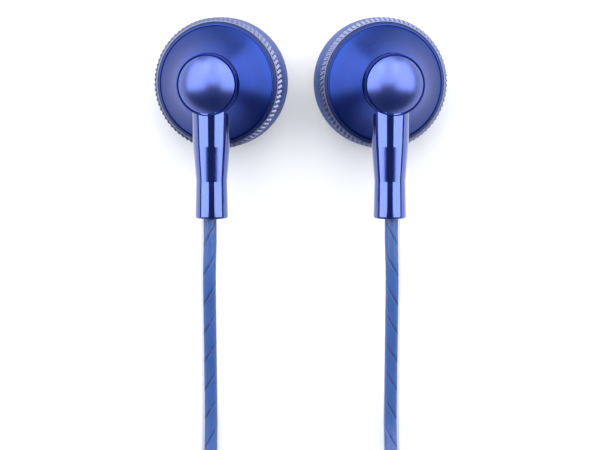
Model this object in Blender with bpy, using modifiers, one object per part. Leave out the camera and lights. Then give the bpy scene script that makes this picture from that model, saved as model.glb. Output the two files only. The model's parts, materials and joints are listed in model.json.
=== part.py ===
"""A pair of wired earphones with turned aluminium rears, stems and a twisted two-strand cord.

Each earphone is modelled about its own axis: +Z out of the rear, -Y down the stem. It then lies
front down on a table, leaning on its ear cushion. The origin is the middle of the two earphones
on the table, +X to the right, +Y away from the cords, +Z up. Lengths are in metres.
"""

import math

import bpy
from mathutils import Matrix, Vector

MM = 0.001

# How the two earphones lie.
BUD_X = 10.95 * MM  # from the middle of the pair to each earphone's axis
LEAN = math.radians(11.0)  # each rear leans outwards, about the stem
DROOP = math.radians(5.5)  # each stem droops towards the table

# Clearances between pieces.
FIT = 0.05 * MM  # between pieces that seat on or in each other
JOIN = 0.3 * MM  # between a cord and what it enters

# Driver. Depths in an earphone are measured down from the rim face.
DRIVER_R = 7.40 * MM
DRIVER_TOP = 3.0 * MM  # depth of the basket's back flange
BASKET_H = 2.1 * MM
BASKET_T = 0.6 * MM
AIR_GAP = 0.15 * MM  # each side of the voice coil
MAGNET_R = 2.35 * MM
MAGNET_H = 1.1 * MM
POLE_R = 2.45 * MM
COIL_T = 0.45 * MM
COIL_IN_R = POLE_R + AIR_GAP
COIL_OUT_R = COIL_IN_R + COIL_T
COIL_HEADROOM = 0.6 * MM  # between the coil and the yoke's back
YOKE_WALL = 0.5 * MM
YOKE_BACK = 0.6 * MM
YOKE_H = 2.35 * MM
YOKE_RISE = 1.4 * MM  # how far the yoke stands out of the basket's back
YOKE_R = COIL_OUT_R + AIR_GAP + YOKE_WALL
YOKE_TOP = DRIVER_TOP - YOKE_RISE
YOKE_MOUTH = YOKE_TOP + YOKE_H
BASKET_FLANGE = 0.9 * MM  # from the driver's edge to the diaphragm's
DIAPHRAGM_R = DRIVER_R - BASKET_FLANGE
DIAPHRAGM_T = 0.15 * MM
DIAPHRAGM_HEIGHT = 0.65 * MM  # over the ledge that the driver stops on
BOARD = (3.6 * MM, 2.2 * MM, 0.4 * MM)

# Front shell and grille.
SHELL_WALL = 0.6 * MM
SHELL_R = DRIVER_R + 2 * FIT + SHELL_WALL
SHELL_EDGE = 0.3 * MM
SHELL_LEDGE = DRIVER_TOP + BASKET_H
LEDGE_T = 0.55 * MM
DIAPHRAGM_Z = SHELL_LEDGE - DIAPHRAGM_HEIGHT
GRILLE_SEAT = SHELL_LEDGE + LEDGE_T
GRILLE_R = SHELL_R - 0.85 * MM
GRILLE_CROWN = 1.8 * MM
GRILLE_T = 0.35 * MM
SHELL_DEPTH = GRILLE_SEAT + FIT + GRILLE_T
SOUND_HOLE_R = GRILLE_R - 0.7 * MM
DAMPER_TOP = SHELL_LEDGE + 0.2 * MM
DAMPER_T = 0.15 * MM

# Rear bell and the knurled ring round its rim.
RIM_R = SHELL_R - 2 * FIT
RIM_EDGE = 0.35 * MM
RIM_FACE_R = RIM_R - RIM_EDGE
RING_WALL = 0.55 * MM
RING_R = RIM_R + FIT + RING_WALL
RING_TOP = 0.45 * MM  # below the rim face
RING_H = 0.95 * MM
TOOTH_DEPTH = 0.16 * MM
TEETH = 80
SKIRT = RING_TOP + RING_H + FIT  # rim face to the shoulder that meets the front shell
BELL_H = 4.1 * MM  # rim face to the boss
BELL_EDGE_SLOPE = 0.95  # how steep the bell still is at its rim
BELL_WALL = 0.85 * MM
BELL_SPIGOT_WALL = 0.6 * MM

# Ear cushion.
CUSHION_WALL = 0.4 * MM
CUSHION_R = SHELL_R + FIT + CUSHION_WALL
CUSHION_LIP_T = 0.4 * MM

# Stem, measured down its own axis from the earphone's axis.
STEM_Z = 2.6 * MM  # height of the stem's axis over the rim face
STEM_ROOT, STEM_ROOT_R = 2.4 * MM, 2.6 * MM
STEM_STEP, STEM_STEP_R = 7.97 * MM, 2.39 * MM
STEM_WAIST, STEM_WAIST_R = 12.54 * MM, 2.015 * MM
STEM_END, STEM_END_R = 17.36 * MM, 2.145 * MM
STEM_CORNER = 0.36 * MM
STEM_WALL = 0.265 * MM  # round the cord bush
SPIGOT_R = 1.75 * MM
SPIGOT_START = 1.7 * MM
WIRE_BORE_R = 0.95 * MM
WIRE_R = 0.22 * MM
WIRE_GAP = 0.36 * MM  # each lead wire from the middle

# Boss, which holds the stem, and the dome on it.
BOSS_R = 4.03 * MM
BOSS_BOTTOM = 0.3 * MM
BOSS_TOP = STEM_Z + STEM_ROOT_R
BOSS_CHAMFER = 0.12 * MM
DOME_R = 3.7 * MM
DOME_H = 1.5 * MM

# Cord.
CORD_R = 1.05 * MM
BUSH_R = min(STEM_WAIST_R - STEM_WALL, STEM_END_R - STEM_CORNER) - FIT
BUSH_LENGTH = 2.85 * MM
BUSH_WALL = 0.25 * MM  # beside the cord, where it is thinnest
BUSH_OFFSET = BUSH_R - BUSH_WALL - FIT - CORD_R  # the cord's hole, outwards of the stem's axis
TURN_PITCH = 2 * CORD_R + FIT  # between neighbouring turns of a coil
COIL_MEAN_R = 12.5 * MM
COIL_LAYERS = 4
COIL_BOTTOM = 0.5 * MM  # a coil lies on its tie
BRANCH_COIL_XY = (0.0, -64.0 * MM)
BRANCH_COLUMNS = 2
MAIN_COIL_XY = (3.4 * MM, -131.0 * MM)
MAIN_COLUMNS = 3
TIE_WIDTH = 5.0 * MM
TIE_T = 0.3 * MM
TIE_GAP = 0.2 * MM

# Splitter, where the two branches join.
SPLITTER_R = 3.0 * MM
SPLITTER_WAIST_R = 2.7 * MM
SPLITTER_WALL = 0.45 * MM
SPLITTER_LENGTH = 14.0 * MM
SPLITTER_Y = -94.0 * MM  # its upper end
BRANCH_GAP = CORD_R + JOIN / 2  # each branch from the splitter's axis

# Plug, a 3.5 mm stereo one, lying along -Y.
PLUG_X = -15.9 * MM
PLUG_Y = -127.3 * MM  # where its strain relief starts
PIN_R = 1.75 * MM
PIN_LENGTH = 14.0 * MM
PIN_BAND = 0.5 * MM  # each insulating band
PIN_RING = 2.2 * MM
PIN_TIP = 3.6 * MM
COLLAR_WALL = 0.45 * MM
COLLAR_LIP = 0.3 * MM
COLLAR_T = 0.8 * MM
PLUG_BORE_R = PIN_R + FIT + COLLAR_WALL + FIT
PLUG_WALL = 0.9 * MM
PLUG_R = PLUG_BORE_R + PLUG_WALL
PLUG_BARREL = 13.0 * MM
PLUG_RELIEF = 6.0 * MM
PLUG_SPIGOT = 3.0 * MM

OUTER_STEPS = 28
INNER_STEPS = 16


def clear_scene():
    for thing in list(bpy.data.objects):
        bpy.data.objects.remove(thing, do_unlink=True)


def new_collection(name):
    collection = bpy.data.collections.new(name)
    bpy.context.scene.collection.children.link(collection)
    return collection


def new_material(name, colour, roughness, metallic):
    material = bpy.data.materials.new(name)
    material.use_nodes = True
    shader = material.node_tree.nodes["Principled BSDF"]
    shader.inputs["Base Color"].default_value = (*colour, 1.0)
    shader.inputs["Roughness"].default_value = roughness
    shader.inputs["Metallic"].default_value = metallic
    return material


clear_scene()
PARTS = new_collection("wired_earphones")
CUTTERS = new_collection("cutters")

ANODISED = new_material("anodised_blue", (0.03, 0.10, 0.55), 0.25, 1.0)
SILVER = new_material("bright_aluminium", (0.80, 0.80, 0.85), 0.3, 1.0)
SHELL_PLASTIC = new_material("shell_plastic", (0.02, 0.03, 0.08), 0.5, 0.0)
SILICONE = new_material("blue_silicone", (0.08, 0.13, 0.38), 0.6, 0.0)
STEEL = new_material("steel", (0.6, 0.6, 0.62), 0.35, 1.0)
CLOTH = new_material("damping_cloth", (0.05, 0.05, 0.05), 0.9, 0.0)
BLACK_PLASTIC = new_material("black_plastic", (0.02, 0.02, 0.02), 0.5, 0.0)
MAGNET_PLATE = new_material("nickel_plate", (0.65, 0.62, 0.58), 0.3, 1.0)
COPPER = new_material("copper", (0.85, 0.4, 0.2), 0.35, 1.0)
FILM = new_material("film", (0.7, 0.7, 0.65), 0.3, 0.0)
BOARD_GREEN = new_material("circuit_board", (0.02, 0.2, 0.08), 0.5, 0.0)
BLUE_RUBBER = new_material("blue_rubber", (0.03, 0.06, 0.25), 0.7, 0.0)
CORD_BLUE = new_material("cord_blue", (0.07, 0.17, 0.45), 0.4, 0.0)
GOLD = new_material("gold_plate", (0.95, 0.75, 0.35), 0.2, 1.0)


def finish(thing, material, parent, collection):
    """Put an object in its collection, with its material and its parent."""
    thing.data.materials.append(material)
    collection.objects.link(thing)
    thing.parent = parent
    if collection is CUTTERS:
        thing.hide_render = True
        thing.display_type = "WIRE"
    return thing


def place(thing, location=(0.0, 0.0, 0.0), rotation=(0.0, 0.0, 0.0)):
    thing.location = location
    thing.rotation_euler = rotation
    return thing


def turned(name, profile, material, steps, parent=None, collection=None):
    """Turn (radius, height) points about Z. They run down the outer side, top to bottom.

    A profile that starts and ends on the axis stays open. Any other is a closed ring section.
    """
    points = [(r, 0.0, z) for r, z in profile]
    on_axis = profile[0][0] == 0.0 and profile[-1][0] == 0.0
    edges = [(i, i + 1) for i in range(len(points) - 1)]
    if not on_axis:
        edges.append((len(points) - 1, 0))
    mesh = bpy.data.meshes.new(name)
    mesh.from_pydata(points, edges, [])
    thing = finish(bpy.data.objects.new(name, mesh), material, parent, collection or PARTS)
    screw = thing.modifiers.new("turn", "SCREW")
    screw.axis = "Z"
    screw.steps = steps
    screw.render_steps = steps
    screw.use_merge_vertices = True
    screw.merge_threshold = 1e-7
    screw.use_normal_calculate = False
    screw.use_smooth_shade = True
    return thing


def boolean(thing, cutter, operation="DIFFERENCE"):
    cut = thing.modifiers.new(cutter.name, "BOOLEAN")
    cut.operation = operation
    cut.solver = "EXACT"
    cut.object = cutter
    return thing


def rod_profile(radius, low, high):
    return [(0.0, high), (radius, high), (radius, low), (0.0, low)]


def ring_profile(inner, outer, low, high):
    return [(inner, high), (outer, high), (outer, low), (inner, low)]


def flat_outline(name, outlines, thickness, material, parent=None):
    """A flat piece from closed outlines in XY, the first its edge and the rest its holes."""
    curve = bpy.data.curves.new(name, "CURVE")
    curve.dimensions = "2D"
    curve.fill_mode = "BOTH"
    curve.extrude = thickness / 2
    for outline in outlines:
        spline = curve.splines.new("POLY")
        spline.points.add(len(outline) - 1)
        for point, (x, y) in zip(spline.points, outline):
            point.co = (x, y, 0.0, 1.0)
        spline.use_cyclic_u = True
    return finish(bpy.data.objects.new(name, curve), material, parent, PARTS)


def circle(radius, count):
    turn = 2 * math.pi / count
    return [(radius * math.cos(turn * i), radius * math.sin(turn * i)) for i in range(count)]


def tube(name, points, radius, material, parent=None, resolution=2):
    """A round wire or cord through the points."""
    curve = bpy.data.curves.new(name, "CURVE")
    curve.dimensions = "3D"
    curve.bevel_depth = radius
    curve.bevel_resolution = resolution
    curve.use_fill_caps = True
    spline = curve.splines.new("POLY")
    spline.points.add(len(points) - 1)
    for point, where in zip(spline.points, points):
        point.co = (*where, 1.0)
    return finish(bpy.data.objects.new(name, curve), material, parent, PARTS)


def smooth(points, pieces):
    """Points along a smooth curve through the given ones, with so many pieces to each gap."""
    points = [Vector(p) for p in points]
    ends = [2 * points[0] - points[1], *points, 2 * points[-1] - points[-2]]
    found = []
    for i in range(len(points) - 1):
        a, b, c, d = ends[i : i + 4]
        for k in range(pieces):
            t = k / pieces
            found.append(
                0.5
                * (
                    2 * b
                    + (c - a) * t
                    + (2 * a - 5 * b + 4 * c - d) * t * t
                    + (3 * b - a - 3 * c + d) * t**3
                )
            )
    return [*found, points[-1]]


def flare(radius):
    """Height of the bell's outer face at a radius."""
    span = RIM_FACE_R - BOSS_R - FIT
    left = (RIM_FACE_R - radius) / span
    straight = BELL_EDGE_SLOPE * span
    return straight * left + (BELL_H - straight) * left**2


def stem_profile(extra=0.0):
    """The stem's outer side, from its end to its root, grown by a clearance."""
    return [
        (STEM_END_R - STEM_CORNER + extra, STEM_END + extra),
        (STEM_END_R - 0.3 * STEM_CORNER + extra, STEM_END - 0.3 * STEM_CORNER + extra),
        (STEM_END_R + extra, STEM_END - STEM_CORNER + extra),
        (STEM_WAIST_R + extra, STEM_WAIST),
        (STEM_STEP_R + extra, STEM_STEP),
        (STEM_ROOT_R + extra, STEM_ROOT),
    ]


STEM_TURN = (math.pi / 2, 0.0, 0.0)  # turns a piece's Z down the stem, to -Y


def stem_clearance(side, bud):
    """The stem grown by its clearance, which cuts the bell and the boss."""
    profile = [(0.0, STEM_END + FIT), *stem_profile(FIT), (0.0, STEM_ROOT)]
    cutter = turned(side + "_stem_clearance", profile, ANODISED, OUTER_STEPS, bud, CUTTERS)
    return place(cutter, (0.0, 0.0, STEM_Z), STEM_TURN)


def add_rear_bell(side, bud, clearance):
    hole = BOSS_R + FIT
    shares = (0.0, 0.12, 0.27, 0.45, 0.65, 0.85)
    outer = [(hole + (RIM_FACE_R - hole) * t, flare(hole + (RIM_FACE_R - hole) * t)) for t in shares]
    spigot = SHELL_R - SHELL_WALL - FIT
    spigot_in = spigot - BELL_SPIGOT_WALL
    spigot_end = FIT - DRIVER_TOP
    rim = [
        (RIM_FACE_R, 0.0),
        (RIM_R - 0.3 * RIM_EDGE, -0.3 * RIM_EDGE),
        (RIM_R, -RIM_EDGE),
        (RIM_R, -SKIRT),
        (spigot, -SKIRT),
        (spigot, spigot_end),
        (spigot_in, spigot_end),
        (spigot_in, -BELL_WALL),
    ]
    inner = [(hole + (RIM_FACE_R - hole) * t - 0.3 * BELL_WALL) for t in (0.55, 0.3)]
    inside = [(r, flare(r + 0.3 * BELL_WALL) - 1.2 * BELL_WALL) for r in inner]
    profile = [*outer, *rim, *inside, (hole, BELL_H - 1.4 * BELL_WALL)]
    bell = turned(side + "_rear_bell", profile, ANODISED, OUTER_STEPS, bud)
    return boolean(bell, clearance)


def add_boss(side, bud, clearance):
    """The cylinder on the bell that holds the stem and carries the dome."""
    profile = [
        (0.0, BOSS_TOP),
        (BOSS_R - BOSS_CHAMFER, BOSS_TOP),
        (BOSS_R, BOSS_TOP - BOSS_CHAMFER),
        (BOSS_R, BOSS_BOTTOM),
        (0.0, BOSS_BOTTOM),
    ]
    boss = turned(side + "_boss", profile, ANODISED, OUTER_STEPS, bud)
    seat_r = DOME_R + FIT / 2
    core = rod_profile(seat_r, BOSS_BOTTOM - MM, BOSS_TOP + MM)
    seat_core = turned(side + "_seat_core", core, ANODISED, OUTER_STEPS, bud, CUTTERS)
    seat_outline = [(0.0, STEM_STEP), (STEM_ROOT_R + FIT, STEM_STEP), (STEM_ROOT_R + FIT, 0.0), (0.0, 0.0)]
    seat = turned(side + "_stem_seat", seat_outline, ANODISED, OUTER_STEPS, bud, CUTTERS)
    place(seat, (0.0, 0.0, STEM_Z), STEM_TURN)
    boolean(seat, seat_core)
    bore = turned(
        side + "_spigot_bore",
        rod_profile(SPIGOT_R + FIT, SPIGOT_START - FIT, STEM_STEP),
        ANODISED,
        INNER_STEPS,
        bud,
        CUTTERS,
    )
    place(bore, (0.0, 0.0, STEM_Z), STEM_TURN)
    way = turned(
        side + "_wire_way",
        rod_profile(WIRE_BORE_R, BOSS_BOTTOM - MM, STEM_Z),
        ANODISED,
        INNER_STEPS,
        bud,
        CUTTERS,
    )
    elbow = turned(
        side + "_wire_elbow",
        rod_profile(WIRE_BORE_R, 0.0, STEM_ROOT),
        ANODISED,
        INNER_STEPS,
        bud,
        CUTTERS,
    )
    place(elbow, (0.0, 0.0, STEM_Z - 0.1 * MM), STEM_TURN)
    for cutter in (seat, bore, way, elbow):
        boolean(boss, cutter)
    return boss


def add_dome(side, bud):
    low = BOSS_TOP + FIT
    ball = (DOME_R**2 + DOME_H**2) / (2 * DOME_H)
    edge = math.asin(DOME_R / ball)
    rows = 6
    profile = [(0.0, low + DOME_H)]
    for i in range(1, rows):
        angle = edge * i / rows
        profile.append((ball * math.sin(angle), low + DOME_H - ball * (1 - math.cos(angle))))
    profile += [(DOME_R, low), (0.0, low)]
    return turned(side + "_dome_cap", profile, ANODISED, OUTER_STEPS, bud)


def add_stem(side, bud):
    mouth = BUSH_R + FIT
    profile = [
        (mouth, STEM_END),
        *stem_profile(),
        (WIRE_BORE_R, STEM_ROOT),
        (WIRE_BORE_R, STEM_END - BUSH_LENGTH - 2 * FIT),
        (mouth, STEM_END - BUSH_LENGTH - 2 * FIT),
    ]
    stem = turned(side + "_stem", profile, ANODISED, OUTER_STEPS, bud)
    place(stem, (0.0, 0.0, STEM_Z), STEM_TURN)
    trim = turned(
        side + "_stem_trim",
        rod_profile(DOME_R + 1.5 * FIT, STEM_Z - 2 * STEM_ROOT_R, STEM_Z + 2 * STEM_ROOT_R),
        ANODISED,
        OUTER_STEPS,
        bud,
        CUTTERS,
    )
    spigot = turned(
        side + "_spigot",
        ring_profile(WIRE_BORE_R - 0.1 * MM, SPIGOT_R, SPIGOT_START, STEM_ROOT + STEM_ROOT_R),
        ANODISED,
        INNER_STEPS,
        bud,
        CUTTERS,
    )
    place(spigot, (0.0, 0.0, STEM_Z), STEM_TURN)
    boolean(stem, trim)
    return boolean(stem, spigot, "UNION")


def add_cord_bush(side, bud, outwards):
    """The rubber bush in the stem's end, with the cord's hole to one side of its middle."""
    low, high = STEM_END - BUSH_LENGTH - FIT, STEM_END - FIT
    bush = turned(side + "_cord_bush", rod_profile(BUSH_R, low, high), BLUE_RUBBER, INNER_STEPS, bud)
    place(bush, (0.0, 0.0, STEM_Z), STEM_TURN)
    hole = turned(
        side + "_cord_hole",
        rod_profile(CORD_R + FIT, low - MM, high + MM),
        BLUE_RUBBER,
        INNER_STEPS,
        bud,
        CUTTERS,
    )
    place(hole, (outwards * BUSH_OFFSET, 0.0, STEM_Z), STEM_TURN)
    return boolean(bush, hole)


def add_knurled_ring(side, bud):
    outer = []
    half = math.pi / TEETH
    for i in range(TEETH):
        for radius, angle in ((RING_R, 2 * i * half), (RING_R - TOOTH_DEPTH, (2 * i + 1) * half)):
            outer.append((radius * math.cos(angle), radius * math.sin(angle)))
    hole = circle(RIM_R + FIT, OUTER_STEPS)
    ring = flat_outline(side + "_knurled_ring", [outer, hole], RING_H, SILVER, bud)
    return place(ring, (0.0, 0.0, -RING_TOP - RING_H / 2))


def add_front_shell(side, bud):
    top = -SKIRT - FIT
    inside = SHELL_R - SHELL_WALL
    profile = [
        (SHELL_R, top),
        (SHELL_R, SHELL_EDGE - SHELL_DEPTH),
        (SHELL_R - SHELL_EDGE, -SHELL_DEPTH),
        (GRILLE_R + FIT, -SHELL_DEPTH),
        (GRILLE_R + FIT, -GRILLE_SEAT),
        (SOUND_HOLE_R, -GRILLE_SEAT),
        (SOUND_HOLE_R, -SHELL_LEDGE),
        (inside, -SHELL_LEDGE),
        (inside, top),
    ]
    return turned(side + "_front_shell", profile, SHELL_PLASTIC, OUTER_STEPS, bud)


def crown(radius):
    """Depth of the grille's dome under its edge plane at a radius."""
    ball = (GRILLE_R**2 + GRILLE_CROWN**2) / (2 * GRILLE_CROWN)
    return math.sqrt(ball**2 - radius**2) - (ball - GRILLE_CROWN)


def add_grille(side, bud):
    rows = [GRILLE_R * k / 4 for k in range(4)]
    back = -GRILLE_SEAT - FIT
    inner = [(r, back - crown(r) * (GRILLE_CROWN - GRILLE_T) / GRILLE_CROWN) for r in rows]
    outer = [(r, -SHELL_DEPTH - crown(r)) for r in reversed(rows)]
    profile = [*inner, (GRILLE_R, back), (GRILLE_R, -SHELL_DEPTH), *outer]
    return turned(side + "_front_grille", profile, STEEL, OUTER_STEPS, bud)


def add_cushion(side, bud):
    """The soft ring stretched over the front shell, from the trim ring round the front edge."""
    top = -RING_TOP - RING_H - 4 * FIT
    hole = SHELL_R + FIT
    back = -SHELL_DEPTH - FIT
    front = back - CUSHION_LIP_T
    bulge = CUSHION_R - hole
    lip = GRILLE_R + 2 * FIT
    profile = [
        (hole + 0.55 * bulge, top),
        (CUSHION_R - 0.1 * bulge, top - 0.8 * MM),
        (CUSHION_R, top - 2.2 * MM),
        (CUSHION_R - 0.1 * bulge, front + 1.3 * MM),
        (hole + 0.1 * bulge, front + 0.5 * MM),
        (hole - 0.35 * MM, front + 0.08 * MM),
        (lip + 0.25 * MM, front),
        (lip, front + 0.1 * MM),
        (lip, back),
        (hole - SHELL_EDGE, back),
        (hole, back + SHELL_EDGE),
        (hole, top),
    ]
    return turned(side + "_ear_cushion", profile, SILICONE, OUTER_STEPS, bud)


def add_driver(side, bud):
    """The moving-coil driver: basket, magnet system, terminal board, damper, coil, diaphragm."""
    basket = [
        (DRIVER_R, -DRIVER_TOP),
        (DRIVER_R, FIT - SHELL_LEDGE),
        (DIAPHRAGM_R + 0.35 * MM, FIT - SHELL_LEDGE),
        (DIAPHRAGM_R + AIR_GAP, -DRIVER_TOP - BASKET_T),
        (YOKE_R + FIT, -DRIVER_TOP - BASKET_T),
        (YOKE_R + FIT, -DRIVER_TOP),
    ]
    turned(side + "_driver_basket", basket, BLACK_PLASTIC, INNER_STEPS, bud)
    yoke = [
        (0.0, -YOKE_TOP),
        (YOKE_R, -YOKE_TOP),
        (YOKE_R, -YOKE_MOUTH),
        (YOKE_R - YOKE_WALL, -YOKE_MOUTH),
        (YOKE_R - YOKE_WALL, -YOKE_TOP - YOKE_BACK),
        (0.0, -YOKE_TOP - YOKE_BACK),
    ]
    turned(side + "_yoke_cup", yoke, STEEL, INNER_STEPS, bud)
    magnet_top = -YOKE_TOP - YOKE_BACK - FIT
    magnet = rod_profile(MAGNET_R, magnet_top - MAGNET_H, magnet_top)
    turned(side + "_magnet", magnet, MAGNET_PLATE, INNER_STEPS, bud)
    pole = rod_profile(POLE_R, -YOKE_MOUTH, magnet_top - MAGNET_H - FIT)
    turned(side + "_pole_plate", pole, STEEL, INNER_STEPS, bud)
    damper = rod_profile(SOUND_HOLE_R - 2 * FIT, -DAMPER_TOP - DAMPER_T, -DAMPER_TOP)
    turned(side + "_damping_disc", damper, CLOTH, INNER_STEPS, bud)
    coil_top = -YOKE_TOP - YOKE_BACK - COIL_HEADROOM
    coil = ring_profile(COIL_IN_R, COIL_OUT_R, FIT - DIAPHRAGM_Z, coil_top)
    turned(side + "_voice_coil", coil, COPPER, INNER_STEPS, bud)
    film = [(0.0, 0.3 * MM), (COIL_IN_R, 0.0), (0.73 * DIAPHRAGM_R, 0.17 * MM), (DIAPHRAGM_R, 0.0)]
    rear = [(r, -DIAPHRAGM_Z - sink) for r, sink in film]
    front = [(r, z - DIAPHRAGM_T) for r, z in reversed(rear)]
    turned(side + "_diaphragm", [*rear, *front], FILM, INNER_STEPS, bud)
    half_x, half_y = BOARD[0] / 2, BOARD[1] / 2
    outline = [(-half_x, -half_y), (half_x, -half_y), (half_x, half_y), (-half_x, half_y)]
    board = flat_outline(side + "_terminal_board", [outline], BOARD[2], BOARD_GREEN, bud)
    place(board, (0.0, 0.0, -YOKE_TOP + FIT + BOARD[2] / 2))


def add_lead_wires(side, bud):
    """Two enamelled wires from the cord's end in the stem, through the boss, to the board."""
    start = -(STEM_END - BUSH_LENGTH - 3 * FIT)
    end = -YOKE_TOP + 2 * FIT + BOARD[2]
    down = [(start, STEM_Z), (-STEM_ROOT, STEM_Z), (-0.6 * MM, STEM_Z - 0.25 * MM)]
    down += [(-0.1 * MM, STEM_Z - 0.9 * MM), (0.0, STEM_Z - 1.8 * MM), (0.0, end)]
    for name, x in (("live", -WIRE_GAP), ("return", WIRE_GAP)):
        route = [(x, y, z) for y, z in down]
        tube(f"{side}_{name}_wire", route, WIRE_R, COPPER, bud, resolution=1)


def add_bud(side, outwards):
    """One earphone. outwards is -1 for the left one and 1 for the right one."""
    bud = bpy.data.objects.new(side + "_earphone", None)
    PARTS.objects.link(bud)
    turn = Matrix.Rotation(DROOP, 3, "X") @ Matrix.Rotation(outwards * LEAN, 3, "Y")
    place(bud, (outwards * BUD_X, 0.0, 0.0), turn.to_euler())
    clearance = stem_clearance(side, bud)
    add_rear_bell(side, bud, clearance)
    add_boss(side, bud, clearance)
    add_dome(side, bud)
    add_stem(side, bud)
    add_cord_bush(side, bud, outwards)
    add_knurled_ring(side, bud)
    add_front_shell(side, bud)
    add_grille(side, bud)
    add_cushion(side, bud)
    add_driver(side, bud)
    add_lead_wires(side, bud)
    return bud


def settle(buds):
    """Stand the pair on the table with the origin at the middle of its base."""
    bpy.context.view_layer.update()
    graph = bpy.context.evaluated_depsgraph_get()
    points = []
    for thing in PARTS.objects:
        if thing.type != "EMPTY":
            shown = thing.evaluated_get(graph)
            mesh = shown.to_mesh()
            points += [shown.matrix_world @ v.co for v in mesh.vertices]
            shown.to_mesh_clear()
    middle = (max(p.y for p in points) + min(p.y for p in points)) / 2
    for bud in buds:
        bud.location.y -= middle
        bud.location.z -= min(p.z for p in points)
    bpy.context.view_layer.update()


def stem_exit(bud, outwards, past):
    """A point on the cord's line, so far past the stem's end, in the table's frame."""
    inside = Vector((outwards * BUSH_OFFSET, -STEM_END - past, STEM_Z))
    return bud.matrix_world @ inside


def ring_section(columns):
    """A coil's inner and outer radius, and its top."""
    half = ((columns - 1) * TURN_PITCH) / 2 + CORD_R
    top = COIL_BOTTOM + (COIL_LAYERS - 1) * TURN_PITCH + 2 * CORD_R
    return COIL_MEAN_R - half, COIL_MEAN_R + half, top


def add_coil(name, centre, columns):
    inner, outer, top = ring_section(columns)
    cut = 0.8 * MM
    profile = [
        (inner + cut, top),
        (outer - cut, top),
        (outer, top - cut),
        (outer, COIL_BOTTOM + cut),
        (outer - cut, COIL_BOTTOM),
        (inner + cut, COIL_BOTTOM),
        (inner, COIL_BOTTOM + cut),
        (inner, top - cut),
    ]
    coil = turned(name, profile, CORD_BLUE, 32)
    return place(coil, (*centre, 0.0))


def add_tie(name, centre, columns):
    """A strap round the coil's bundle, on the side away from the earphones."""
    inner, outer, top = ring_section(columns)
    low, high = COIL_BOTTOM - TIE_GAP - TIE_T, top + TIE_GAP + TIE_T
    near = math.sqrt(inner**2 - (TIE_WIDTH / 2) ** 2) - TIE_GAP - TIE_T
    far = outer + TIE_GAP + TIE_T

    def box(shrink):
        return [
            (near + shrink, low + shrink),
            (far - shrink, low + shrink),
            (far - shrink, high - shrink),
            (near + shrink, high - shrink),
        ]

    tie = flat_outline(name, [box(0.0), box(TIE_T)], TIE_WIDTH, BLUE_RUBBER)
    return place(tie, (*centre, 0.0), (math.pi / 2, 0.0, -math.pi / 2))


def add_splitter():
    """A waisted aluminium barrel over a moulded insert, where two cords become one."""
    middle = SPLITTER_LENGTH / 2
    inside = SPLITTER_R - SPLITTER_WALL
    edge = 0.25 * MM
    barrel = [
        (inside, SPLITTER_LENGTH),
        (SPLITTER_R - edge, SPLITTER_LENGTH),
        (SPLITTER_R, SPLITTER_LENGTH - edge),
        (SPLITTER_WAIST_R, middle),
        (SPLITTER_R, edge),
        (SPLITTER_R - edge, 0.0),
        (inside, 0.0),
    ]
    at = (0.0, SPLITTER_Y, SPLITTER_R)
    insert = rod_profile(inside - FIT, 0.2 * MM, SPLITTER_LENGTH - 0.2 * MM)
    for name, profile, material in (
        ("splitter_barrel", barrel, ANODISED),
        ("splitter_insert", insert, BLUE_RUBBER),
    ):
        place(turned(name, profile, material, 20), at, STEM_TURN)


def add_plug():
    """The plug's pieces in a row, each (name, profile, material), turned about its axis."""
    inside = PLUG_BORE_R
    barrel_start = PLUG_RELIEF + FIT
    barrel_end = barrel_start + PLUG_BARREL
    shoulder = barrel_end + FIT + COLLAR_T
    edge = 0.3 * MM
    relief = [
        (0.0, barrel_start + PLUG_SPIGOT),
        (inside - FIT, barrel_start + PLUG_SPIGOT),
        (inside - FIT, PLUG_RELIEF),
        (0.75 * PLUG_R, PLUG_RELIEF),
        (0.62 * PLUG_R, 0.5 * PLUG_RELIEF),
        (1.35 * CORD_R, 0.0),
        (0.0, 0.0),
    ]
    barrel = [
        (inside, barrel_end),
        (PLUG_R - edge, barrel_end),
        (PLUG_R, barrel_end - edge),
        (PLUG_R, barrel_start + 2 * MM),
        (0.82 * PLUG_R, barrel_start),
        (inside, barrel_start),
    ]
    collar = [
        (PIN_R + FIT, shoulder),
        (inside + COLLAR_LIP, shoulder),
        (inside + COLLAR_LIP, barrel_end + FIT),
        (inside - FIT, barrel_end + FIT),
        (inside - FIT, barrel_end - PLUG_SPIGOT),
        (PIN_R + FIT, barrel_end - PLUG_SPIGOT),
    ]
    tip_start = shoulder + PIN_LENGTH - PIN_TIP
    ring_start = tip_start - PIN_BAND - PIN_RING
    sleeve_end = ring_start - PIN_BAND
    tip_end = shoulder + PIN_LENGTH
    tip = [
        (0.0, tip_end),
        (0.35 * PIN_R, tip_end),
        (0.98 * PIN_R, tip_end - 1.5 * MM),
        (0.72 * PIN_R, tip_end - 2.5 * MM),
        (PIN_R, tip_start + 0.5 * MM),
        (PIN_R, tip_start),
        (0.0, tip_start),
    ]
    rods = (
        ("plug_sleeve_contact", barrel_end - PLUG_SPIGOT, sleeve_end, GOLD),
        ("plug_ring_insulator", sleeve_end, ring_start, BLACK_PLASTIC),
        ("plug_ring_contact", ring_start, ring_start + PIN_RING, GOLD),
        ("plug_tip_insulator", ring_start + PIN_RING, tip_start, BLACK_PLASTIC),
    )
    pieces = [
        ("plug_strain_relief", relief, BLUE_RUBBER),
        ("plug_barrel", barrel, ANODISED),
        ("plug_collar", collar, BLACK_PLASTIC),
        ("plug_tip_contact", tip, GOLD),
    ]
    pieces += [(name, rod_profile(PIN_R, low, high - FIT), mat) for name, low, high, mat in rods]
    for name, profile, material in pieces:
        place(turned(name, profile, material, 20), (PLUG_X, PLUG_Y, PLUG_R), STEM_TURN)


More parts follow.
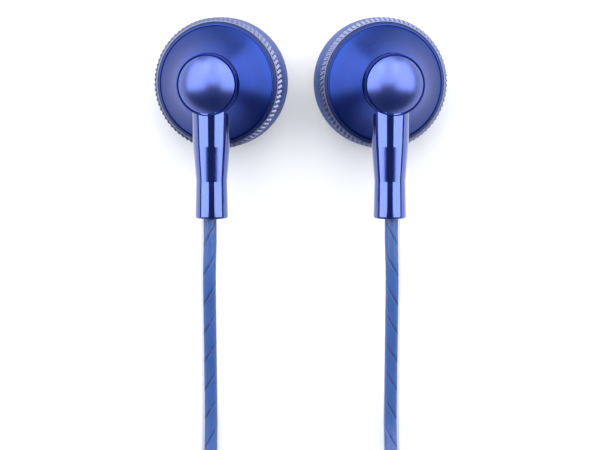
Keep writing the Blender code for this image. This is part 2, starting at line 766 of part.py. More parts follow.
def add_cords(left, right):
    """The stretches of cord that aren't coiled: two branches and the main cord."""
    rest = [(12.0, -21.0, 7.6), (12.0, -28.0, 5.4), (12.0, -35.0, 3.0), (12.0, -41.0, 1.55)]
    low_in = [(12.2, -46.5, 1.1), (12.9, -51.0, 1.3), (13.35, -54.7, 1.45)]
    high_in = [(12.2, -46.5, 1.9), (12.9, -51.0, 3.4), (13.35, -54.7, 4.6)]
    low_out = [(12.9, -73.5, 3.8), (9.6, -81.0, 3.5), (4.4, -87.5, 3.1)]
    high_out = [(12.9, -73.5, 7.6), (9.6, -81.0, 5.8), (4.4, -87.5, 3.7)]
    gate = SPLITTER_Y + JOIN
    for side, bud, outwards, into, out_of in (
        ("left", left, -1, low_in, low_out),
        ("right", right, 1, high_in, high_out),
    ):
        lead = [stem_exit(bud, outwards, JOIN), stem_exit(bud, outwards, 3.0 * MM)]
        lead += [Vector((outwards * x, y, z)) * MM for x, y, z in rest + into]
        tube(side + "_cord_lead", smooth(lead, 1), CORD_R, CORD_BLUE)
        tail = [Vector((outwards * x, y, z)) * MM for x, y, z in out_of]
        tail += [
            Vector((outwards * BRANCH_GAP * 1.05, gate + 2.5 * MM, SPLITTER_R)),
            Vector((outwards * BRANCH_GAP, gate, SPLITTER_R)),
        ]
        tube(side + "_cord_tail", smooth(tail, 2), CORD_R, CORD_BLUE)
    past = SPLITTER_Y - SPLITTER_LENGTH - JOIN
    lead = [Vector((0.0, past, SPLITTER_R)), Vector((-0.2 * MM, past - 2.0 * MM, 2.6 * MM))]
    lead += [Vector(p) * MM for p in ((-2.0, -113.4, 1.7), (-5.0, -116.2, 1.35))]
    tube("main_cord_lead", smooth(lead, 2), CORD_R, CORD_BLUE)
    tail = [Vector(p) * MM for p in ((-5.6, -115.0, 7.9), (-10.4, -116.3, 6.9), (-14.4, -119.8, 5.2))]
    tail += [
        Vector((PLUG_X, PLUG_Y + 3.0 * MM, PLUG_R + 0.3 * MM)),
        Vector((PLUG_X, PLUG_Y + JOIN, PLUG_R)),
    ]
    tube("main_cord_tail", smooth(tail, 2), CORD_R, CORD_BLUE)


left_bud = add_bud("left", -1)
right_bud = add_bud("right", 1)
settle([left_bud, right_bud])
add_coil("branch_coil", BRANCH_COIL_XY, BRANCH_COLUMNS)
add_tie("branch_coil_tie", BRANCH_COIL_XY, BRANCH_COLUMNS)
add_coil("main_coil", MAIN_COIL_XY, MAIN_COLUMNS)
add_tie("main_coil_tie", MAIN_COIL_XY, MAIN_COLUMNS)
add_splitter()
add_plug()
add_cords(left_bud, right_bud)
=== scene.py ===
"""The looks of a pair of wired earphones: blue anodised rears and stems, knurled trim rings, soft
ear cushions, a clear-jacketed twisted cord, a barrel splitter and a stereo plug. Metres, +Z up.
"""
import json
import math

import bmesh
import bpy
from mathutils import Matrix, Vector


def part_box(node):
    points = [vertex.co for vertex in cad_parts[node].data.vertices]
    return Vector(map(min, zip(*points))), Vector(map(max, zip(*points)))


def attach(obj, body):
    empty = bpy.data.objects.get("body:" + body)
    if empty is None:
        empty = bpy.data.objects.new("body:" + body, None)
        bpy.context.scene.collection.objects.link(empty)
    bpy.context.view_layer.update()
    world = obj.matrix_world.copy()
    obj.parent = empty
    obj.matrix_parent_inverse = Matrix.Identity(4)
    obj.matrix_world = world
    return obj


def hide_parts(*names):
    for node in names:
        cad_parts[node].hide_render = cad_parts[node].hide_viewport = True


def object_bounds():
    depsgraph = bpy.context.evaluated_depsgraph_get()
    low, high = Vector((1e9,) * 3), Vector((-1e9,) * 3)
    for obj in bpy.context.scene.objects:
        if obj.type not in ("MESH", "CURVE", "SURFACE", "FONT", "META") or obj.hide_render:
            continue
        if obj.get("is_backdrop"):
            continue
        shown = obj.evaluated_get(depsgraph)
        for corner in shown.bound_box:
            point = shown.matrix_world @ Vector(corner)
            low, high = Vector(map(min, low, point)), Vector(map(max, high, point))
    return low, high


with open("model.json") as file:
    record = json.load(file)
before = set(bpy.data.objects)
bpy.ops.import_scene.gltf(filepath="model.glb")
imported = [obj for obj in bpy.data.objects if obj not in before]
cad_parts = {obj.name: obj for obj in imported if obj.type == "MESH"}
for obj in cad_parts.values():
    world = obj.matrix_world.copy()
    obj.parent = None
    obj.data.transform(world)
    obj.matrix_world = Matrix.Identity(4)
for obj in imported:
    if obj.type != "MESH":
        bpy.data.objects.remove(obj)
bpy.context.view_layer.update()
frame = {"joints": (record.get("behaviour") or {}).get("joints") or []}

# ---------------------------------------------------------------------------------------------
# The table, the camera and the studio lights.
# The pair lies front down on a pale sheet, seen from straight above through a long lens.
MM = 0.001
VIEW_MIDDLE = Vector((-0.1 * MM, -14.05 * MM, 8.0 * MM))
VIEW_WIDTH = 78.0 * MM
LENS, SENSOR = 150.0, 36.0

sight = bpy.data.cameras.new("camera")
sight.lens = LENS
sight.sensor_width = SENSOR
sight.clip_start = 0.01
sight.clip_end = 20.0
camera = bpy.data.objects.new("camera", sight)
camera.location = VIEW_MIDDLE + Vector((0.0, 0.0, VIEW_WIDTH * LENS / SENSOR))
bpy.context.scene.collection.objects.link(camera)
bpy.context.scene.camera = camera
bpy.context.scene.view_settings.view_transform = "Standard"


def node_of(material, kind, values=(), **settings):
    """A new node in a material, with its settings and the plain values of its named inputs."""
    node = material.node_tree.nodes.new(kind)
    for name, value in settings.items():
        setattr(node, name, value)
    for name, value in dict(values).items():
        node.inputs[name].default_value = value
    return node


def new_finish(name, colour, roughness, metallic=0.0, **more):
    """A material with its shader set, and the shader."""
    material = bpy.data.materials.new(name)
    material.use_nodes = True
    shader = material.node_tree.nodes["Principled BSDF"]
    shader.inputs["Base Color"].default_value = (*colour, 1.0)
    shader.inputs["Roughness"].default_value = roughness
    shader.inputs["Metallic"].default_value = metallic
    for socket, value in more.items():
        shader.inputs[socket.replace("_", " ")].default_value = value
    return material, shader


PAPER_HALF = 3.0  # half its width
PAPER_SHADE, PAPER_GLOW = 0.58, 0.22
paper, _ = new_finish(
    "white_paper", (PAPER_SHADE, PAPER_SHADE, PAPER_SHADE), 0.7,
    Emission_Color=(1.0, 1.0, 1.0, 1.0), Emission_Strength=PAPER_GLOW,
)
floor_bm = bmesh.new()
bmesh.ops.create_grid(floor_bm, x_segments=1, y_segments=1, size=PAPER_HALF)
floor_mesh = bpy.data.meshes.new("table")
floor_bm.to_mesh(floor_mesh)
floor_bm.free()
floor_mesh.materials.append(paper)
table = bpy.data.objects.new("table", floor_mesh)
bpy.context.scene.collection.objects.link(table)
table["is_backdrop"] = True

sky = bpy.data.worlds.new("studio")
sky.use_nodes = True
sky.node_tree.nodes["Background"].inputs["Color"].default_value = (0.35, 0.5, 1.0, 1.0)
sky.node_tree.nodes["Background"].inputs["Strength"].default_value = 0.22
bpy.context.scene.world = sky


POWER_PER_GLOW = 4.0


def soft_box(name, lean, towards, spread, far, length, shift, glow):
    """A flat white light that leans from straight up towards an azimuth and fills a spread of angle.

    It stands so far off, is so long the other way and is shifted along that. glow is how bright its
    face is, whatever its size.
    """
    light = bpy.data.lights.new(name, "AREA")
    light.shape = "RECTANGLE"
    light.size, light.size_y = 2 * far * math.tan(spread / 2), length
    light.energy = POWER_PER_GLOW * glow * light.size * light.size_y
    lamp = bpy.data.objects.new(name, light)
    turn = Matrix.Rotation(towards, 4, "Z") @ Matrix.Rotation(lean, 4, "Y")
    lamp.matrix_world = turn @ Matrix.Translation((0.0, shift, far))
    bpy.context.scene.collection.objects.link(lamp)


SIDE_LEAN, SIDE_SPREAD, SIDE_SHIFT = math.radians(49.5), math.radians(58), 0.363
BACK_LEAN, BACK_SPREAD = math.radians(36), math.radians(80)
for name, towards, shift in (("left_box", math.pi, -SIDE_SHIFT), ("right_box", 0.0, SIDE_SHIFT)):
    soft_box(name, SIDE_LEAN, towards, SIDE_SPREAD, far=0.6, length=1.10, shift=shift, glow=2.6)
soft_box("back_box", BACK_LEAN, math.pi / 2, BACK_SPREAD, far=0.8, length=0.62, shift=0.0, glow=2.2)

# ---------------------------------------------------------------------------------------------
# The cords: a clear vinyl jacket 2.1 mm across over two blue strands twisted together. A branch
# runs from each stem to the splitter, and the main cord from there to the plug. The spare length
# is wound into two flat coils, each held by a tie.
CORD_R = 1.05 * MM
CORE_R = 0.85 * MM
CORE_SIDE = 0.11 * MM  # the strands lie to one side in the jacket
TWIST = 8.0 * MM  # one whole turn of the strands
TURN_PITCH = 2.15 * MM
COIL_MEAN_R = 12.5 * MM
COIL_BOTTOM = 0.5 * MM  # the tie passes under the coil
COIL_FLOOR = COIL_BOTTOM + CORD_R
TURN_POINTS = 24
TURN_KEPT = 0.75  # a turn stays in its slot so far, then moves over to the next one
MAIN_LAST_TURN = 0.68  # the main coil's last turn is cut short there
CORD_STEP = 0.55 * MM
MAGNET_DEPTH = 2.8 * MM  # from the rim face to the middle of the magnet


def place_of(side):
    """An earphone's frame: +Z out of the rear, -Y down the stem, the origin in its rim face."""
    slide = next(j for j in frame["joints"] if j["name"] == side + "_diaphragm_travel")
    out = Vector(slide["axis"])
    up = Vector((0.0, out.z, -out.y)).normalized()
    low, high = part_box(side + "_magnet")
    middle = (low + high) / 2 + out * MAGNET_DEPTH
    turn = Matrix((up.cross(out), up, out)).transposed()
    return Matrix.Translation(middle) @ turn.to_4x4()


PLACES = {"left": place_of("left"), "right": place_of("right")}
OUTWARDS = {"left": -1.0, "right": 1.0}


def smooth(points, step):
    """Points about a step apart on a smooth curve through the given ones."""
    ends = [2 * points[0] - points[1], *points, 2 * points[-1] - points[-2]]
    found = []
    for i in range(len(points) - 1):
        a, b, c, d = ends[i : i + 4]
        pieces = max(1, round((c - b).length / step))
        for k in range(pieces):
            t = k / pieces
            bend = (2 * a - 5 * b + 4 * c - d) * t * t + (3 * b - a - 3 * c + d) * t**3
            found.append(0.5 * (2 * b + (c - a) * t + bend))
    return [*found, points[-1]]


def wound(centre, start, hand, slots, last_turn=1.0):
    """Points of a coil's turns, one turn to each slot, (radius, height). hand is 1 or -1."""
    found = []
    for i, (radius, height) in enumerate(slots):
        after = slots[min(i + 1, len(slots) - 1)]
        share = last_turn if i == len(slots) - 1 else 1.0
        for k in range(round(TURN_POINTS * share)):
            t = k / TURN_POINTS
            move = max(0.0, (t - TURN_KEPT) / (1.0 - TURN_KEPT))
            move = move * move * (3.0 - 2.0 * move)
            r = radius + (after[0] - radius) * move
            z = height + (after[1] - height) * move
            angle = start + hand * 2.0 * math.pi * t
            found.append(centre + Vector((r * math.cos(angle), r * math.sin(angle), z)))
    return found


def slots_of(columns, rows):
    """(radius, height) slots of a coil from (column, layer) pairs, column 0 the outermost."""
    outer = COIL_MEAN_R + (columns - 1) * TURN_PITCH / 2
    return [(outer - column * TURN_PITCH, COIL_FLOOR + layer * TURN_PITCH) for column, layer in rows]


def route_of(points, outwards=1.0):
    """Points in millimetres made metres, and mirrored for the left side."""
    return [Vector((outwards * x, y, z)) * MM for x, y, z in points]


STEM_END = 17.36 * MM  # down the stem from the earphone's axis
STEM_Z = 2.6 * MM  # the stem's axis over the rim face
BUSH_OFFSET = 0.35 * MM
JOIN = 0.3 * MM  # between a cord and what it enters
SPLITTER_R, SPLITTER_LENGTH, SPLITTER_Y = 3.0 * MM, 14.0 * MM, -94.0 * MM
BRANCH_GAP = 1.2 * MM  # from the splitter's middle to each branch
branch_centre = Vector((0.0, -64.0 * MM, 0.0))
main_centre = Vector((3.4 * MM, -131.0 * MM, 0.0))

# A branch's chosen points, for the right side: down from the stem, into its coil, out of it again
# and into the splitter. The left branch lies in the coil's two lower layers.
fall = [(12.0, -21.0, 7.6), (12.0, -28.0, 5.4), (12.0, -35.0, 3.0), (12.0, -41.0, 1.55)]
into = {
    "left": [(12.2, -46.5, 1.1), (12.9, -51.0, 1.3), (13.35, -54.7, 1.45)],
    "right": [(12.2, -46.5, 1.9), (12.9, -51.0, 3.4), (13.35, -54.7, 4.6)],
}
out_of = {
    "left": [(13.35, -68.5, 3.75), (12.6, -73.5, 3.7), (10.7, -78.3, 3.55), (7.9, -82.6, 3.35)],
    "right": [(13.35, -68.5, 7.9), (12.6, -73.5, 7.4), (10.7, -78.3, 6.4), (7.9, -82.6, 5.2)],
}
gate = {
    "left": [(5.1, -86.4, 3.15), (2.85, -89.6, 3.05), (1.62, -92.0, 3.0)],
    "right": [(5.1, -86.4, 4.1), (2.85, -89.6, 3.3), (1.62, -92.0, 3.0)],
}
layers = {"left": [(0, 0), (1, 0), (1, 1), (0, 1)], "right": [(0, 2), (1, 2), (1, 3), (0, 3)]}


def branch_points(side):
    """The middle line of a branch, from inside its stem to inside the splitter."""
    outwards = OUTWARDS[side]
    exits = [
        PLACES[side] @ Vector((outwards * BUSH_OFFSET, -STEM_END - past, STEM_Z))
        for past in (-2.0 * MM, JOIN, 3.0 * MM)
    ]
    start = math.pi if outwards < 0 else 0.0
    turns = wound(branch_centre, start, -outwards, slots_of(2, layers[side]), 1 / TURN_POINTS)
    inside = [
        Vector((outwards * BRANCH_GAP, SPLITTER_Y - past, SPLITTER_R)) for past in (JOIN, JOIN + 2.0 * MM)
    ]
    ends = route_of(fall + into[side], outwards), route_of(out_of[side] + gate[side], outwards)
    return [*exits, *ends[0], *turns, *ends[1], *inside]


def main_points():
    """The middle line of the main cord, from inside the splitter to inside the plug's relief."""
    foot = SPLITTER_Y - SPLITTER_LENGTH - JOIN
    lead = [Vector((0.0, foot + past, SPLITTER_R)) for past in (1.5 * MM, 0.0)]
    lead += route_of([(-0.15, -109.9, 2.9), (-0.9, -111.9, 2.45), (-2.6, -114.2, 1.9)])
    lead += route_of([(-4.9, -116.5, 1.55), (-7.6, -119.6, 1.5), (-9.8, -123.3, 1.5)])
    lead += route_of([(-10.9, -127.0, 1.5)])
    rows = [(0, 0), (1, 0), (2, 0), (2, 1), (1, 1), (0, 1), (0, 2), (1, 2), (2, 2), (2, 3), (1, 3)]
    turns = wound(main_centre, math.pi, 1.0, slots_of(3, rows), MAIN_LAST_TURN)
    tail = route_of([(9.5, -120.0, 8.0), (6.1, -118.3, 8.0), (2.4, -116.9, 8.0), (-1.5, -115.9, 7.95)])
    tail += route_of([(-5.6, -115.3, 7.75), (-9.6, -116.0, 7.15), (-12.9, -118.2, 6.1)])
    tail += route_of([(-15.0, -121.3, 4.75), (-15.8, -124.4, 3.6)])
    tail += route_of([(-15.9, -127.0, 3.2), (-15.9, -129.0, 3.2)])
    return [*lead, *turns, *tail]


def cord_curve(name, points, radius, material, outline=None):
    """A tube along the points, or a twisted strand where an outline is given."""
    curve = bpy.data.curves.new(name, "CURVE")
    curve.dimensions = "3D"
    curve.use_fill_caps = True
    curve.bevel_depth = radius
    curve.bevel_resolution = 4
    spline = curve.splines.new("POLY")
    spline.points.add(len(points) - 1)
    for point, where in zip(spline.points, points):
        point.co = (*where, 1.0)
    if outline:
        curve.bevel_mode = "OBJECT"
        curve.bevel_object = outline
    curve.materials.append(material)
    spline.use_smooth = True
    thing = bpy.data.objects.new(name, curve)
    bpy.context.scene.collection.objects.link(thing)
    return thing


def strand_outline(turn):
    """Half of the twisted core in section, turned, its corners cut back so that a groove shows."""
    curve = bpy.data.curves.new("strand_outline", "CURVE")
    curve.dimensions = "2D"
    spline = curve.splines.new("POLY")
    corner, arc_steps = math.radians(76), 14
    arc = [corner * (2 * k / arc_steps - 1.0) for k in range(arc_steps + 1)]
    section = [Vector((CORE_R * math.cos(a), CORE_R * math.sin(a), 0.0)) for a in arc]
    flat_x, flat_y = 0.03 * CORE_R, 0.64 * CORE_R
    section += [Vector((flat_x, flat_y, 0.0)), Vector((flat_x, -flat_y, 0.0))]
    spline.points.add(len(section) - 1)
    for point, corner_at in zip(spline.points, section):
        point.co = (*(Matrix.Rotation(turn, 3, "Z") @ corner_at), 1.0)
    spline.use_cyclic_u = True
    return bpy.data.objects.new("strand_outline", curve)


def mesh_of(thing, name):
    """The thing as shown, made a mesh piece in its place."""
    graph = bpy.context.evaluated_depsgraph_get()
    mesh = bpy.data.meshes.new_from_object(thing.evaluated_get(graph))
    bpy.data.objects.remove(thing)
    piece = bpy.data.objects.new(name, mesh)
    bpy.context.scene.collection.objects.link(piece)
    return piece


def grain(material, shader, scale, depth, shades=0.12):
    """A fine grain: a bump, and slight changes of colour and gloss."""
    links = material.node_tree.links
    coords = node_of(material, "ShaderNodeTexCoord")
    noise = node_of(material, "ShaderNodeTexNoise", {"Scale": scale, "Detail": 4.0, "Roughness": 0.6})
    patches = node_of(material, "ShaderNodeTexNoise", {"Scale": scale / 9.0, "Detail": 3.0})
    bump = node_of(material, "ShaderNodeBump", {"Strength": 1.0, "Distance": depth})
    shade = node_of(material, "ShaderNodeValToRGB")
    gloss = node_of(material, "ShaderNodeMapRange")
    colour = shader.inputs["Base Color"].default_value[:3]
    shade.color_ramp.elements[0].position = 0.3
    shade.color_ramp.elements[1].position = 0.7
    shade.color_ramp.elements[0].color = (*(c * (1.0 - shades) for c in colour), 1.0)
    shade.color_ramp.elements[1].color = (*(min(1.0, c * (1.0 + shades)) for c in colour), 1.0)
    rough = shader.inputs["Roughness"].default_value
    gloss.inputs["To Min"].default_value = rough * 0.8
    gloss.inputs["To Max"].default_value = min(1.0, rough * 1.2)
    for texture in (noise, patches):
        links.new(coords.outputs["Object"], texture.inputs["Vector"])
    links.new(noise.outputs["Fac"], bump.inputs["Height"])
    links.new(patches.outputs["Fac"], shade.inputs["Fac"])
    links.new(patches.outputs["Fac"], gloss.inputs["Value"])
    links.new(shade.outputs["Color"], shader.inputs["Base Color"])
    links.new(gloss.outputs["Result"], shader.inputs["Roughness"])
    links.new(bump.outputs["Normal"], shader.inputs["Normal"])


jacket_finish, jacket_shader = new_finish(
    "clear_jacket", (0.12, 0.17, 0.42), 0.22, Alpha=0.22, IOR=1.5, Specular_IOR_Level=0.6
)
strand_finish, strand_shader = new_finish("blue_strand", (0.012, 0.072, 0.25), 0.42)


def add_cord(name, side, points):
    """A cord's jacket and, inside it, its two strands. side, 1 or -1, is where the strands lie."""
    line = smooth(points, CORD_STEP)
    jacket = cord_curve(name, line, CORD_R, jacket_finish)
    shifted = []
    for i, where in enumerate(line):
        ahead = line[min(i + 1, len(line) - 1)] - line[max(i - 1, 0)]
        across = ahead.cross(Vector((0.0, 0.0, 1.0))).normalized()
        shifted.append(where + across * side * CORE_SIDE)
    strands = []
    for number, turn in (("a", 0.0), ("b", math.pi)):
        outline = strand_outline(turn)
        strand = cord_curve(f"{name}_strand_{number}", shifted, 0.0, strand_finish, outline)
        along = 0.0
        for i, point in enumerate(strand.data.splines[0].points):
            along += (shifted[i] - shifted[i - 1]).length if i else 0.0
            point.tilt = -side * 2.0 * math.pi * along / TWIST
        piece = mesh_of(strand, f"{name}_strand_{number}")
        piece.data.shade_smooth()
        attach(piece, "earphones")
        strands.append(piece)
    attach(jacket, "earphones")
    return jacket, strands


grain(jacket_finish, jacket_shader, 1500.0, 0.003 * MM, 0.05)
grain(strand_finish, strand_shader, 2500.0, 0.006 * MM, 0.08)
left_cord, left_strands = add_cord("left_cord", -1.0, branch_points("left"))
right_cord, right_strands = add_cord("right_cord", 1.0, branch_points("right"))
main_cord, main_strands = add_cord("main_cord", -1.0, main_points())
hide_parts("left_cord_lead", "left_cord_tail", "branch_coil")
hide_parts("right_cord_lead", "right_cord_tail")
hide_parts("main_cord_lead", "main_cord_tail", "main_coil")

# ---------------------------------------------------------------------------------------------
# Each earphone's rear bell: aluminium, turned in one piece, flared from the boss to a thin lip,
# then dyed blue in the anodising bath. The lathe's fine rings still show under the gloss.
RIM_R = 8.0 * MM
BELL_H = 4.1 * MM  # from the rim to the boss
EDGE_SLOPE = 0.95  # how steep the bell still is at its rim
BELL_STEPS = 24
SPIGOT_R, SPIGOT_WALL, SPIGOT_FOOT = 7.45 * MM, 0.6 * MM, -2.95 * MM
SKIRT_FOOT = -1.45 * MM
LIP_FOOT = -0.75 * MM
BOSS_R = 4.03 * MM
FIT = 0.05 * MM
TURNED_STEPS = 128


def rounded(corners, steps=4):
    """(radius, height) points of (radius, height, cut) corners, each cut back and rounded."""
    found = []
    for i, (r, z, cut) in enumerate(corners):
        here = Vector((r, z))
        before = Vector(corners[i - 1][:2])
        after = Vector(corners[(i + 1) % len(corners)][:2])
        start = here + (before - here).normalized() * cut
        end = here + (after - here).normalized() * cut
        count = steps if cut else 0
        for k in range(count + 1):
            t = k / steps
            found.append((1 - t) ** 2 * start + 2 * t * (1 - t) * here + t * t * end)
    return [(p.x, p.y) for p in found]


def turned(profile, steps=TURNED_STEPS):
    """A bmesh of (radius, height) points turned about Z. One that ends on the axis is open there."""
    bm = bmesh.new()
    verts = [bm.verts.new((r, 0.0, z)) for r, z in profile]
    pairs = list(zip(verts, verts[1:]))
    if min(profile[0][0], profile[-1][0]) > 0.0:
        pairs.append((verts[-1], verts[0]))
    edges = [bm.edges.new(pair) for pair in pairs]
    bmesh.ops.spin(
        bm, geom=[*verts, *edges], cent=(0, 0, 0), axis=(0, 0, 1), angle=2 * math.pi,
        steps=steps, use_merge=True,
    )
    bmesh.ops.remove_doubles(bm, verts=bm.verts, dist=1e-7)
    bmesh.ops.recalc_face_normals(bm, faces=bm.faces)
    return bm


def piece_of(bm, name, material, place=Matrix.Identity(4), sharp=35.0):
    """A finished piece from a bmesh, put in its place."""
    bm.transform(place)
    mesh = bpy.data.meshes.new(name)
    bm.to_mesh(mesh)
    bm.free()
    mesh.materials.append(material)
    mesh.shade_smooth()
    mesh.set_sharp_from_angle(angle=math.radians(sharp))
    piece = bpy.data.objects.new(name, mesh)
    bpy.context.scene.collection.objects.link(piece)
    return piece


def settle(piece, slot, *nodes):
    """The piece rides on the fixed body and stands for CAD nodes, which it hides. slot is not used."""
    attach(piece, "earphones")
    if nodes:
        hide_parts(*nodes)


def lathe_lines(material, shader, place, depth, scale, turn=0.0):
    """Fine turning rings round a piece's axis, as a bump and a slight change of gloss."""
    links = material.node_tree.links
    coords = node_of(material, "ShaderNodeTexCoord")
    there = place @ Matrix.Rotation(turn, 4, "X")
    spot = node_of(
        material, "ShaderNodeMapping", vector_type="TEXTURE",
        values={"Location": there.to_translation(), "Rotation": there.to_euler()},
    )
    parts = node_of(material, "ShaderNodeSeparateXYZ")
    flat = node_of(material, "ShaderNodeCombineXYZ")
    reach = node_of(material, "ShaderNodeVectorMath", operation="LENGTH")
    mixed = node_of(material, "ShaderNodeCombineXYZ")
    noise = node_of(material, "ShaderNodeTexNoise", {"Scale": scale, "Detail": 3.0, "Roughness": 0.7})
    bump = node_of(material, "ShaderNodeBump", {"Strength": 1.0, "Distance": depth})
    gloss = node_of(material, "ShaderNodeMapRange")
    rough = shader.inputs["Roughness"].default_value
    gloss.inputs["From Min"].default_value = 0.3
    gloss.inputs["From Max"].default_value = 0.7
    gloss.inputs["To Min"].default_value = rough * 0.8
    gloss.inputs["To Max"].default_value = rough * 1.25
    links.new(coords.outputs["Object"], spot.inputs["Vector"])
    links.new(spot.outputs["Vector"], parts.inputs["Vector"])
    links.new(parts.outputs["X"], flat.inputs["X"])
    links.new(parts.outputs["Y"], flat.inputs["Y"])
    links.new(flat.outputs["Vector"], reach.inputs[0])
    links.new(reach.outputs["Value"], mixed.inputs["X"])
    links.new(parts.outputs["Z"], mixed.inputs["Y"])
    links.new(mixed.outputs["Vector"], noise.inputs["Vector"])
    links.new(noise.outputs["Fac"], bump.inputs["Height"])
    links.new(noise.outputs["Fac"], gloss.inputs["Value"])
    links.new(gloss.outputs["Result"], shader.inputs["Roughness"])
    links.new(bump.outputs["Normal"], shader.inputs["Normal"])


POLISHED_BLUE, SATIN_BLUE = (0.012, 0.05, 0.33), (0.010, 0.040, 0.25)
LINES_SCALE = 14000.0
STEM_TURN = math.pi / 2
BELL_GLOSS, BELL_COAT = 1.45, 0.42


def anodised(name, colour, roughness, gloss, place, lines, turn=0.0):
    """Dyed aluminium with its clear sealed film.

    gloss is the film's refractive index, and lines is how deep the lathe's rings are.
    """
    material, shader = new_finish(
        name, colour, roughness, 1.0, Coat_Weight=1.0, Coat_Roughness=roughness, Coat_IOR=gloss
    )
    lathe_lines(material, shader, place, lines, LINES_SCALE, turn)
    return material


BELL_FINISH = {
    side: anodised(side + "_satin", SATIN_BLUE, 0.33, BELL_GLOSS, PLACES[side], 0.004 * MM)
    for side in PLACES
}
SHADE_FROM, SHADE_TO = 4.0 * MM, 7.7 * MM  # the radii across which painted shade darkens the bell's colour in a ring
# Painted shade: the bell's colour is darkest in a ring halfway from the boss to the rim, and lighter by
# the boss and at the rim.
for finish in BELL_FINISH.values():
    shade_reach = node_of(finish, "ShaderNodeMapRange", {"From Min": SHADE_FROM, "From Max": SHADE_TO})
    painted_shade = node_of(finish, "ShaderNodeValToRGB")
    painted_shade.color_ramp.interpolation = "B_SPLINE"
    painted_shade.color_ramp.elements[0].color = (0.022, 0.060, 0.36, 1.0)
    painted_shade.color_ramp.elements[1].color = (0.005, 0.032, 0.23, 1.0)
    middle = painted_shade.color_ramp.elements.new(0.5)
    middle.color = (0.008, 0.028, 0.17, 1.0)
    reach = next(node for node in finish.node_tree.nodes if node.bl_idname == "ShaderNodeVectorMath")
    shader = finish.node_tree.nodes["Principled BSDF"]
    shader.inputs["Coat Weight"].default_value = BELL_COAT
    finish.node_tree.links.new(reach.outputs["Value"], shade_reach.inputs["Value"])
    finish.node_tree.links.new(shade_reach.outputs["Result"], painted_shade.inputs["Fac"])
    finish.node_tree.links.new(painted_shade.outputs["Color"], shader.inputs["Base Color"])

# Painted shade: the bell's lip is coloured near black and stands for the shadow in the gap between the
# bell's face and the trim ring.
lip_shade_finish, lip_shade_shader = new_finish("painted_shade_lip", (0.003, 0.010, 0.075), 0.45, 0.3)
grain(lip_shade_finish, lip_shade_shader, 3000.0, 0.002 * MM)

for side, place in PLACES.items():
    hole = BOSS_R + FIT
    face_r = RIM_R - 0.45 * MM
    flare = []
    straight = EDGE_SLOPE * (face_r - hole)
    for i in range(BELL_STEPS + 1):
        left = 1.0 - i / BELL_STEPS
        radius = face_r - (face_r - hole) * left
        flare.append((radius, straight * left + (BELL_H - straight) * left**2))
    wall = rounded(
        [
            (RIM_R - 0.42 * MM, 0.08 * MM, 0.04 * MM),
            (RIM_R - 0.30 * MM, 0.06 * MM, 0.05 * MM),
            (RIM_R - 0.30 * MM, LIP_FOOT, 0.0),
            (RIM_R - 0.06 * MM, LIP_FOOT, 0.0),
            (RIM_R - 0.04 * MM, -0.42 * MM, 0.01 * MM),
            (RIM_R, -0.42 * MM, 0.01 * MM),
            (RIM_R, SKIRT_FOOT, 0.0),
            (SPIGOT_R, SKIRT_FOOT, 0.0),
            (SPIGOT_R, SPIGOT_FOOT, 0.1 * MM),
            (SPIGOT_R - SPIGOT_WALL, SPIGOT_FOOT, 0.1 * MM),
            (SPIGOT_R - SPIGOT_WALL, -0.85 * MM, 0.2 * MM),
            (4.7 * MM, 1.6 * MM, 0.3 * MM),
            (hole, BELL_H - 1.2 * MM, 0.0),
        ]
    )
    bell = piece_of(turned([*flare, *wall]), side + "_bell", BELL_FINISH[side], place)
    settle(bell, "anodised_blue", side + "_rear_bell")
    lip = rounded(
        [
            (RIM_R - 0.29 * MM, -0.10 * MM, 0.05 * MM),
            (RIM_R - 0.01 * MM, -0.36 * MM, 0.03 * MM),
            (RIM_R - 0.01 * MM, LIP_FOOT + 0.01 * MM, 0.0),
            (RIM_R - 0.29 * MM, LIP_FOOT + 0.01 * MM, 0.0),
        ]
    )
    settle(piece_of(turned(lip), side + "_bell_lip", lip_shade_finish, place), "anodised_blue")

# ---------------------------------------------------------------------------------------------
# The boss and its dome: a turned aluminium post in the bell's middle that holds the stem, with a
# polished dome pressed on it. A narrow groove shows between the two, and the post is coloured dark
# navy as painted shade for that groove.
DOME_R, DOME_H = 3.7 * MM, 1.5 * MM
# Painted shade: the post's colour is darkened to stand for the shade in the groove round the dome.
boss_shade_finish, boss_shade_shader = new_finish("boss_painted_shade", (0.004, 0.02, 0.18), 0.34, 0.9)
grain(boss_shade_finish, boss_shade_shader, 3000.0, 0.002 * MM)
BOSS_TOP = 5.2 * MM
BOSS_SEAT, BOSS_FOOT = BOSS_TOP - 0.5 * MM, 0.3 * MM
DOME_STEPS = 28
DOME_FINISH = {
    side: anodised(side + "_dome_finish", POLISHED_BLUE, 0.32, 1.8, PLACES[side], 0.0006 * MM)
    for side in PLACES
}

for side, place in PLACES.items():
    post = rounded(
        [
            (0.0, BOSS_SEAT, 0.0),
            (DOME_R + 0.1 * MM, BOSS_SEAT, 0.0),
            (DOME_R + 0.14 * MM, BOSS_TOP - 0.02 * MM, 0.04 * MM),
            (BOSS_R - 0.02 * MM, BOSS_TOP - 0.02 * MM, 0.12 * MM),
            (BOSS_R, BOSS_FOOT, 0.0),
            (0.0, BOSS_FOOT, 0.0),
        ]
    )
    boss = piece_of(turned(post), side + "_boss_post", boss_shade_finish, place)
    settle(boss, "anodised_blue", side + "_boss")
    ball = (DOME_R**2 + DOME_H**2) / (2 * DOME_H)
    dome = []
    for i in range(DOME_STEPS + 1):
        angle = math.asin(DOME_R / ball) * i / DOME_STEPS
        dome.append((ball * math.sin(angle), BOSS_TOP + FIT + DOME_H - ball * (1 - math.cos(angle))))
    dome += [(DOME_R - 0.03 * MM, BOSS_TOP - 0.3 * MM), (0.0, BOSS_TOP - 0.3 * MM)]
    cap = piece_of(turned(dome), side + "_dome", DOME_FINISH[side], place)
    settle(cap, "anodised_blue", side + "_dome_cap")

